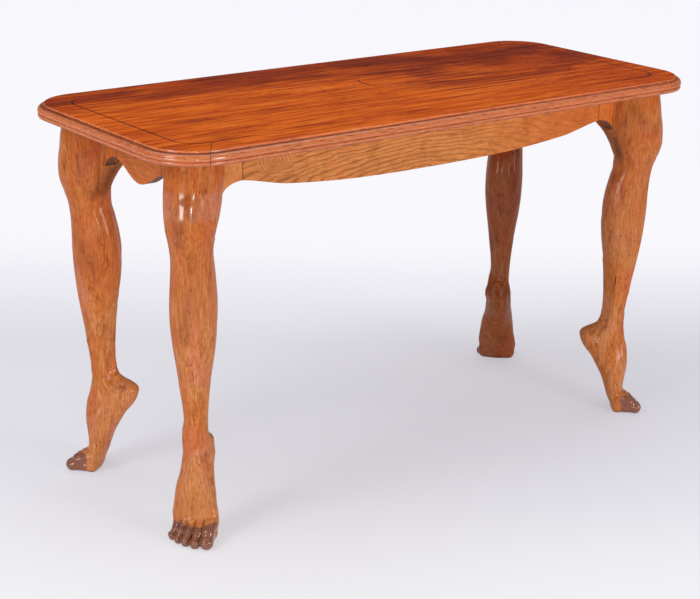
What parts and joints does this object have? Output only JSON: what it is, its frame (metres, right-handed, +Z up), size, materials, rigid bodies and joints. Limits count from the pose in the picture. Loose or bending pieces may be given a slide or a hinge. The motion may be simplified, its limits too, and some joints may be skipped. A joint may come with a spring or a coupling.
{
  "type": "side table",
  "caption": "Long framed-panel table with a moulded round-cornered top, curved aprons and carved barefoot human legs standing on their toes.",
  "frame": {"origin": "on the floor below the middle of the top", "axes": "+Z up, X along the top, -Y towards the front"},
  "size_m": [1.24, 0.537, 0.726],
  "materials": {
    "top_frame_wood": "glossy waxed",
    "panel_wood": "glossy waxed",
    "apron_wood": "satin waxed",
    "carved_leg_wood": "glossy waxed",
    "hidden_wood": "bare",
    "screw_steel": "dull"
  },
  "bodies": {
    "root": {"top_end_left": "top_frame_wood", "top_end_right": "top_frame_wood", "top_rail_front": "top_frame_wood", "top_rail_back": "top_frame_wood", "panel_board_front": "panel_wood", "panel_board_back": "panel_wood", "apron_front": "apron_wood", "apron_back": "apron_wood", "apron_left": "apron_wood", "apron_right": "apron_wood", "ear_front_left": "apron_wood", "ear_front_right": "apron_wood", "ear_back_left": "apron_wood", "ear_back_right": "apron_wood", "ear_left_front": "apron_wood", "ear_left_back": "apron_wood", "ear_right_front": "apron_wood", "ear_right_back": "apron_wood", "leg_front_left": "carved_leg_wood", "leg_front_right": "carved_leg_wood", "leg_back_left": "carved_leg_wood", "leg_back_right": "carved_leg_wood", "top_batten_1": "hidden_wood", "top_batten_2": "hidden_wood", "top_batten_3": "hidden_wood", "corner_block_front_left": "hidden_wood", "corner_block_front_right": "hidden_wood", "corner_block_back_left": "hidden_wood", "corner_block_back_right": "hidden_wood", "top_screws": "screw_steel", "corner_block_screws": "screw_steel"}
  },
  "joints": []
}
